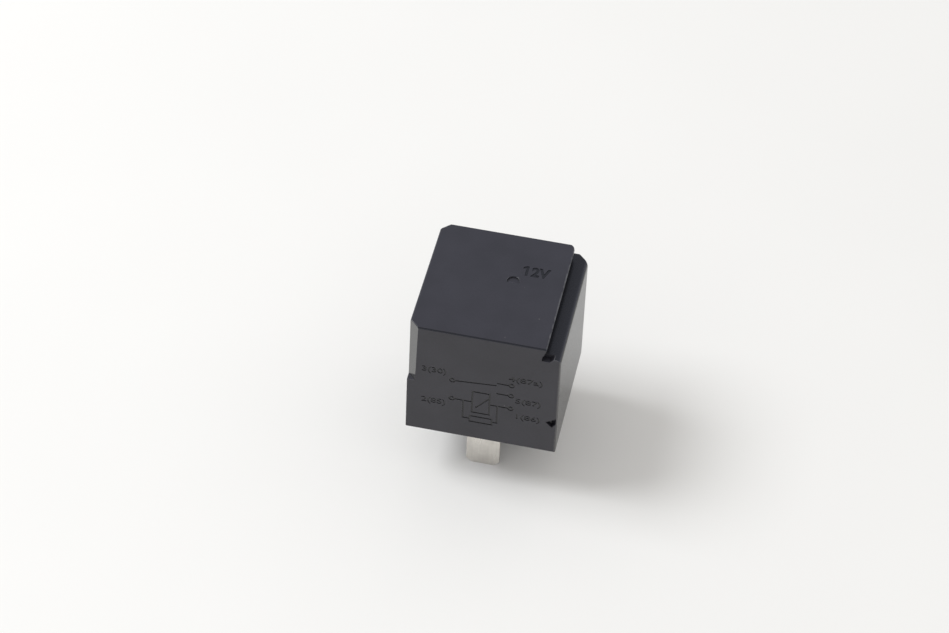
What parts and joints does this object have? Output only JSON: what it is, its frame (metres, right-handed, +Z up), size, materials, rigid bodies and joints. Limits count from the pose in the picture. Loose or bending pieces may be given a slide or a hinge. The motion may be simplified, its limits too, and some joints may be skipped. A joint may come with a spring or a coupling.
{
  "type": "automotive relay",
  "caption": "Plug-in changeover relay: black moulded case with a bracket rail, flat tin-plated blades below and a clapper magnet with spring leaf inside.",
  "frame": {"origin": "below the middle of the case, level with the blade tips", "axes": "+Z up from the blades to the top of the case, -Y out of the front face with the wiring diagram, +X towards the bracket rail"},
  "size_m": [0.028, 0.028, 0.037],
  "materials": {
    "case_moulding": "black moulding with a fine matt grain",
    "base_moulding": "black moulding",
    "tinned_sheet": "tin-plated brass sheet, warm and satin",
    "magnet_steel": "bright passivated soft steel",
    "bobbin_moulding": "natural glass-filled moulding",
    "copper_wire": "enamelled copper wire",
    "resistor_lacquer": "blue-grey lacquer",
    "tinned_wire": "tinned copper wire",
    "contact_alloy": "silver alloy",
    "leaf_bronze": "rolled spring bronze"
  },
  "bodies": {
    "housing": {"cover": "case_moulding", "base": "base_moulding", "terminal_30": "tinned_sheet", "terminal_85": "tinned_sheet", "terminal_86": "tinned_sheet", "terminal_87": "tinned_sheet", "terminal_87a": "tinned_sheet", "yoke": "magnet_steel", "core": "magnet_steel", "bobbin": "bobbin_moulding", "coil_winding": "copper_wire", "resistor_body": "resistor_lacquer", "resistor_lead_85": "tinned_wire", "resistor_lead_86": "tinned_wire", "work_contact": "contact_alloy", "rest_contact": "contact_alloy", "yoke_rivets": "magnet_steel"},
    "armature": {"armature": "magnet_steel", "contact_spring": "leaf_bronze", "armature_rivets": "magnet_steel", "moving_contact": "contact_alloy"}
  },
  "joints": [
    {"name": "armature_hinge", "type": "hinge", "parent": "housing", "child": "armature", "pos_m": [0, 0.00945, 0.03044], "axis": [1, 0, 0], "range_deg": [0, 2.2], "stiffness_Nm_per_rad": 0.05, "springref_deg": -5, "deforming": ["contact_spring"]}
  ]
}
